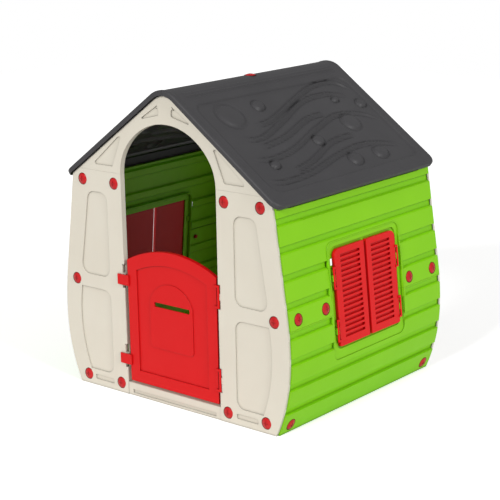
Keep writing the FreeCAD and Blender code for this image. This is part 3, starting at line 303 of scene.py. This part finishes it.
def roofRelief(across, along):
    slant = cos(roof["slope"])
    (fieldStart, fieldEnd), (fieldFront, fieldBack) = roof["field"]
    middle = Vector(((fieldStart + fieldEnd) / 2 / slant, (fieldFront + fieldBack) / 2))
    half = Vector(((fieldEnd - fieldStart) / 2 / slant, (fieldBack - fieldFront) / 2))
    out = [abs(across / slant - middle.x) - half.x + roof["fieldRound"],
           abs(along - middle.y) - half.y + roof["fieldRound"]]
    edge = hypot(max(out[0], 0), max(out[1], 0)) + min(max(out), 0) - roof["fieldRound"]
    rise = -roof["fieldDepth"] * softStep(-edge / 0.006)
    toEdge = min((roof["eave"] - across) / slant, roof["end"] - abs(along)) - roof["edgeRound"]
    rise += roof["rimRise"] * softStep((roof["rimWidth"] - toEdge) / 0.005)
    for x, y, halfAcross, halfAlong in roof["bubbles"]:
        spread = hypot((across - x) / halfAcross, (along - y) / halfAlong)
        if spread < 1:
            rise += roof["bubbleRise"] * sqrt(1 - spread ** 3)
        elif spread < 1.35:
            rise -= roof["creaseDepth"] * softStep(1 - abs(spread - 1.175) / 0.175)
    spot = Vector((across, along))
    for wave in roofWaves:
        gap, where = nearestOnLine(spot, wave)
        taper = softStep(8 * min(where, 1 - where))
        rise += roof["waveRise"] * taper * softStep(1 - gap / roof["waveWidth"])
        beside = abs(gap - roof["waveWidth"] - roof["creaseWidth"] / 2) / (roof["creaseWidth"] / 2)
        rise -= roof["creaseDepth"] * taper * softStep(1 - beside)
    for line in roof["ridgeLines"]:
        if abs(along) < 0.40:
            rise += roof["ridgeLineRise"] * softStep(1 - abs(across - line) / roof["ridgeLineWidth"])
    return rise


def roofSpot(across, along):
    # the flat sheet's corners at the eave are drawn in to an arc
    slant, corner = cos(roof["slope"]), roof["corner"] - roof["edgeRound"]
    farAcross = roof["eave"] / slant - roof["edgeRound"] - corner
    farAlong = roof["end"] - roof["edgeRound"] - corner
    past = Vector((across / slant - farAcross, abs(along) - farAlong))
    if past.x > 0 and past.y > 0:
        past *= max(past) / past.length
        across, along = (farAcross + past.x) * slant, (farAlong + past.y) * (1 if along > 0 else -1)
    return across, along, past


def makeRoofPanel():
    slant = cos(roof["slope"])
    width = roof["eave"] - roof["edgeRound"] * slant - roof["seam"]
    length = 2 * (roof["end"] - roof["edgeRound"])
    deselect()
    bpy.ops.mesh.primitive_grid_add(x_subdivisions=roof["across"], y_subdivisions=roof["along"], size=1,
                                    location=(roof["seam"] + width / 2, 0, 0))
    panel = bpy.context.object
    panel.name = "right_roof_shell"
    panel.scale = (width, length, 1)
    bpy.ops.object.transform_apply(location=True, rotation=False, scale=True)
    bpy.ops.object.mode_set(mode="EDIT")
    mesh = bmesh.from_edit_mesh(panel.data)
    rim = mesh.verts.layers.int.new("rim")
    bases = []
    for vert in mesh.verts:
        onRim = vert.is_boundary
        across, along, past = roofSpot(vert.co.x, vert.co.y)
        normal = roofNormal(across)
        vert.co = Vector((across, along, roofHeight(across))) + normal * roofRelief(across, along)
        if onRim:
            down = Vector((slant, 0, -sin(roof["slope"])))
            side = Vector((0, 1 if along > 0 else -1, 0))
            atEave = across / slant > roof["eave"] / slant - roof["edgeRound"] - 0.0001
            atEnd = abs(along) > roof["end"] - roof["edgeRound"] - 0.0001
            if past.x > 0 and past.y > 0:
                outward = (down * past.x + side * past.y).normalized()
            elif atEave:
                outward = down
            elif atEnd:
                outward = side
            else:
                outward = Vector()
            bases.append((vert.co.copy(), outward, normal))
            vert[rim] = len(bases)
    bpy.ops.mesh.select_all(action="DESELECT")
    bpy.ops.mesh.select_mode(type="EDGE")
    for edge in mesh.edges:
        atRidge = max(vert.co.x for vert in edge.verts) < roof["seam"] + 0.001
        edge.select_set(edge.is_boundary and not atRidge)
    bmesh.update_edit_mesh(panel.data)
    rings = [(sin(radians(a)), 1 - cos(radians(a))) for a in (22.5, 45, 67.5, 90)]
    drops = [(roof["edgeRound"] * a, roof["edgeRound"] * b) for a, b in rings]
    drops.append((roof["edgeRound"], roof["thick"]))
    for reach, drop in drops:
        bpy.ops.mesh.extrude_region_move(TRANSFORM_OT_translate={"value": (0, 0, 0)})
        mesh = bmesh.from_edit_mesh(panel.data)
        rim = mesh.verts.layers.int["rim"]
        for vert in mesh.verts:
            if vert.select:
                start, outward, normal = bases[vert[rim] - 1]
                vert.co = start + outward * reach - normal * drop
        bmesh.update_edit_mesh(panel.data)
    bpy.ops.object.mode_set(mode="OBJECT")
    thicken = panel.modifiers.new("skin", "SOLIDIFY")
    thicken.thickness = roof["skin"]
    thicken.offset = -1
    bpy.ops.object.modifier_apply(modifier="skin")
    panel.data.shade_smooth()
    bpy.ops.object.shade_smooth_by_angle(angle=radians(38))
    return panel


def makeBlock(name, low, high, bevel):
    deselect()
    low, high = Vector(low), Vector(high)
    bpy.ops.mesh.primitive_cube_add(size=1, location=(low + high) / 2)
    block = bpy.context.object
    block.name = name
    block.scale = high - low
    bpy.ops.object.transform_apply(location=True, rotation=False, scale=True)
    bpy.ops.object.mode_set(mode="EDIT")
    bpy.ops.mesh.select_all(action="SELECT")
    bpy.ops.mesh.bevel(offset=bevel, segments=2, affect="EDGES")
    bpy.ops.object.mode_set(mode="OBJECT")
    return block


def makeRoofRib(start, end):
    # a strip under the skin that the gable's top edge carries
    deselect()
    bpy.ops.mesh.primitive_grid_add(x_subdivisions=28, y_subdivisions=1, size=1,
                                    location=(0.235, (start + end) / 2, 0))
    rib = bpy.context.object
    rib.scale = (0.440, end - start, 1)
    bpy.ops.object.transform_apply(location=True, rotation=False, scale=True)
    bpy.ops.object.mode_set(mode="EDIT")
    mesh = bmesh.from_edit_mesh(rib.data)
    for vert in mesh.verts:
        across = vert.co.x
        vert.co = Vector((across, vert.co.y, roofHeight(across))) - roofNormal(across) * 0.0055
    bmesh.update_edit_mesh(rib.data)
    bpy.ops.object.mode_set(mode="OBJECT")
    thicken = rib.modifiers.new("web", "SOLIDIFY")
    thicken.thickness = roof["thick"] - 0.0058
    thicken.offset = -1
    bpy.ops.object.modifier_apply(modifier="web")
    return rib


def makeRidgeLap():
    # the right panel's tongue under the left one, which closes the seam and the notches
    deselect()
    bpy.ops.mesh.primitive_grid_add(x_subdivisions=14, y_subdivisions=1, size=1,
                                    location=(-0.014, 0, 0))
    lap = bpy.context.object
    lap.scale = (0.056, 0.719, 1)
    bpy.ops.object.transform_apply(location=True, rotation=False, scale=True)
    under = roof["ridgeRadius"] - roof["skin"] - 0.0002
    for vert in lap.data.vertices:
        vert.co.z = roof["ridgeCentre"] + sqrt(under ** 2 - vert.co.x ** 2)
    thicken = lap.modifiers.new("skin", "SOLIDIFY")
    thicken.thickness = roof["skin"]
    thicken.offset = -1
    bpy.ops.object.modifier_apply(modifier="skin")
    return lap


def joinInto(piece, extras):
    makeActive(piece)
    for extra in extras:
        extra.select_set(True)
    bpy.ops.object.join()


def turnHalf(piece, name):
    copy = piece.copy()
    copy.data = piece.data.copy()
    copy.name = name
    bpy.context.collection.objects.link(copy)
    copy.data.transform(Matrix.Rotation(pi, 4, "Z"))
    copy.data.update()
    return copy


ridgeNotches = {"across": -0.021, "along": (-0.240, -0.080, 0.080, 0.240), "size": (0.010, 0.024),
                "low": 1.070, "high": 1.090}


def cutNotches(panel):
    cutters = []
    for along in ridgeNotches["along"]:
        half = Vector(ridgeNotches["size"]) / 2
        cutters.append(makeBlock("notch", (ridgeNotches["across"] - half.x, along - half.y,
                                           ridgeNotches["low"]),
                                 (ridgeNotches["across"] + half.x, along + half.y,
                                  ridgeNotches["high"]), 0.0015))
    joinInto(cutters[0], cutters[1:])
    makeActive(panel)
    cut = panel.modifiers.new("notches", "BOOLEAN")
    cut.operation = "DIFFERENCE"
    cut.solver = "EXACT"
    cut.object = cutters[0]
    bpy.ops.object.modifier_apply(modifier="notches")
    bpy.data.objects.remove(cutters[0])


rightRoof = makeRoofPanel()
leftRoof = turnHalf(rightRoof, "left_roof_shell")
cutNotches(leftRoof)
for shell, way in ((rightRoof, 1), (leftRoof, -1)):
    ribs = [makeRoofRib(-0.438, -0.430), makeRoofRib(0.430, 0.438),
            makeBlock("eave_rib", (0.4395, -0.425, 0.7413), (0.4435, 0.425, 0.770), 0.0004)]
    if way < 0:
        for rib in ribs:
            rib.data.transform(Matrix.Rotation(pi, 4, "Z"))
    joinInto(shell, ribs + ([makeRidgeLap()] if way > 0 else []))
settle(rightRoof, "house", "darkGrey", ("right_roof_panel",))
settle(leftRoof, "house", "darkGrey", ("left_roof_panel",))
print("roof made")

# the other CAD nodes keep their shape and take a better finish
finishOf = {"column": "cream", "gable": "cream", "sill": "cream", "wall_lower": "green",
            "wall_upper": "green", "shutter": "shutterRed", "door": "red", "screw": "screwRed"}
for name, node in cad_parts.items():
    if not node.hide_render:
        node.data.materials.clear()
        node.data.materials.append(plastics[next(v for k, v in finishOf.items() if k in name)])
print("CAD nodes painted")

# behind each pair of shutters a rail round the opening stops them
windowStop = {
    "half": 0.187, "low": 0.235, "high": 0.581, "width": 0.026, "thick": 0.004, "set": -0.0046,
    "middle": (0.491, 0.400), "lean": radians(5.193), "notch": (0.518, 0.541), "joint": 0.0003,
}


def makeWindowStop(name):
    stop = windowStop
    low, high = (stop[end] - stop["middle"][1] for end in ("low", "high"))
    notchLow, notchHigh = (end - stop["middle"][1] for end in stop["notch"])
    width, half = stop["width"], stop["half"]
    sideLow, sideHigh = low + width + stop["joint"], high - width - stop["joint"]
    spans = [(-half, half, low, low + width), (-half, half, high - width, high),
             (half - width, half, sideLow, sideHigh), (-half, width - half, sideLow, notchLow),
             (-half, width - half, notchHigh, sideHigh)]
    rails = [makeBlock("rail", (stop["set"] - stop["thick"], start, bottom), (stop["set"], end, top),
                       0.0008) for start, end, bottom, top in spans]
    joinInto(rails[0], rails[1:])
    rails[0].name = name
    lean = Matrix.Rotation(-stop["lean"], 4, "Y")
    rails[0].data.transform(Matrix.Translation((stop["middle"][0], 0, stop["middle"][1])) @ lean)
    return rails[0]


rightStop = makeWindowStop("right_window_stop")
leftStop = makeWindowStop("left_window_stop")
leftStop.data.transform(Matrix.Diagonal((-1, 1, 1, 1)))
leftStop.data.flip_normals()
for stop in (rightStop, leftStop):
    settle(stop, "house", "green")
print("window stops made")

# each screw's head gets a dark ring of painted shadow, for the shaded gap round the head in its seat
screwShadowRing = {"radius": 0.0200, "thick": 0.0012, "turns": 28, "around": 8, "stand": 0.0002}


def screwPlaces(node):
    mesh = bmesh.new()
    mesh.from_mesh(node.data)
    bmesh.ops.remove_doubles(mesh, verts=mesh.verts, dist=0.00002)
    left, places = set(mesh.verts), []
    while left:
        island, edge = set(), [left.pop()]
        while edge:
            vert = edge.pop()
            island.add(vert)
            for other in (e.other_vert(vert) for e in vert.link_edges):
                if other in left:
                    left.discard(other)
                    edge.append(other)
        points = np.array([v.co for v in island])
        middle = points.mean(0)
        sizes, ways = np.linalg.eigh(np.cov((points - middle).T))
        odd = 0 if sizes[1] - sizes[0] > sizes[2] - sizes[1] else 2
        axis = Vector(ways[:, odd])
        offset = (points - middle) @ np.array(axis)
        radial = np.linalg.norm((points - middle) - np.outer(offset, np.array(axis)), axis=1)
        base = offset[radial > radial.max() - 0.0006]
        if base.mean() < 0:
            axis, offset, base = -axis, -offset, -base
        places.append((Vector(middle) + axis * float(base.min()), axis))
    mesh.free()
    return places


def makeScrewRings(node):
    rings = []
    for place, axis in screwPlaces(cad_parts[node]):
        deselect()
        bpy.ops.mesh.primitive_torus_add(major_radius=screwShadowRing["radius"], minor_radius=screwShadowRing["thick"],
                                         major_segments=screwShadowRing["turns"],
                                         minor_segments=screwShadowRing["around"])
        ring = bpy.context.object
        ring.data.transform(Matrix.Diagonal((1, 1, 0.5, 1)))  # a flat bead, not a round wire
        turn = axis.to_track_quat("Z", "Y").to_matrix().to_4x4()
        ring.data.transform(Matrix.Translation(place + axis * screwShadowRing["stand"]) @ turn)
        ring.data.shade_smooth()
        rings.append(ring)
    rings[0].name = node + "_seat_shadows"
    if len(rings) > 1:
        joinInto(rings[0], rings[1:])
    settle(rings[0], "house", "paintedSeatShadow")


for name in [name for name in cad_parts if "screw" in name]:
    makeScrewRings(name)
print("screw seats made")

stageSetup = {
    "floorSize": 14, "floorColour": (0.86, 0.86, 0.85, 1), "glow": 0.52, "ambient": 0.36,
    "key": (1.50, (0.10, -0.92, 0.50), 9), "side": (1.20, (0.94, -0.16, 0.46), 10),
}


def mixByRay(tree, plain, seen):
    # the camera sees the second shader, light on the object comes from the first
    ray = addNode(tree, "ShaderNodeLightPath")
    mix = addNode(tree, "ShaderNodeMixShader")
    tree.links.new(ray.outputs["Is Camera Ray"], mix.inputs["Fac"])
    tree.links.new(plain.outputs[0], mix.inputs[1])
    tree.links.new(seen.outputs[0], mix.inputs[2])
    return mix


def makeStage():
    deselect()
    bpy.ops.mesh.primitive_plane_add(size=stageSetup["floorSize"], location=(0, 0, -0.0005))
    floor = bpy.context.object
    floor.name = "floor"
    bpy.ops.object.transform_apply(location=True)
    material = bpy.data.materials.new("paleFloor")
    material.use_nodes = True
    tree = material.node_tree
    tree.nodes.clear()
    leave = addNode(tree, "ShaderNodeOutputMaterial")
    matte = addNode(tree, "ShaderNodeBsdfDiffuse", {"Color": stageSetup["floorColour"]})
    glow = addNode(tree, "ShaderNodeEmission", {"Strength": stageSetup["glow"]})
    lit = addNode(tree, "ShaderNodeAddShader")
    tree.links.new(matte.outputs[0], lit.inputs[0])
    tree.links.new(glow.outputs[0], lit.inputs[1])
    tree.links.new(mixByRay(tree, matte, lit).outputs[0], leave.inputs["Surface"])
    floor.data.materials.append(material)
    world = bpy.data.worlds.new("studio")
    world.use_nodes = True
    tree = world.node_tree
    tree.nodes.clear()
    leave = addNode(tree, "ShaderNodeOutputWorld")
    soft = addNode(tree, "ShaderNodeBackground", {"Strength": stageSetup["ambient"]})
    white = addNode(tree, "ShaderNodeBackground", {"Strength": 1.0})
    soft.inputs["Color"].default_value = white.inputs["Color"].default_value = (1, 1, 1, 1)
    tree.links.new(mixByRay(tree, soft, white).outputs[0], leave.inputs["Surface"])
    bpy.context.scene.world = world
    for name in ("key", "side"):
        strength, towards, spread = stageSetup[name]
        data = bpy.data.lights.new(name, "SUN")
        data.energy = strength
        data.angle = radians(spread)
        lamp = bpy.data.objects.new(name, data)
        bpy.context.collection.objects.link(lamp)
        lamp.rotation_mode = "QUATERNION"
        lamp.rotation_quaternion = Vector(towards).to_track_quat("Z", "Y")


makeStage()
bpy.context.scene.view_settings.view_transform = "Standard"
print("stage and light made")
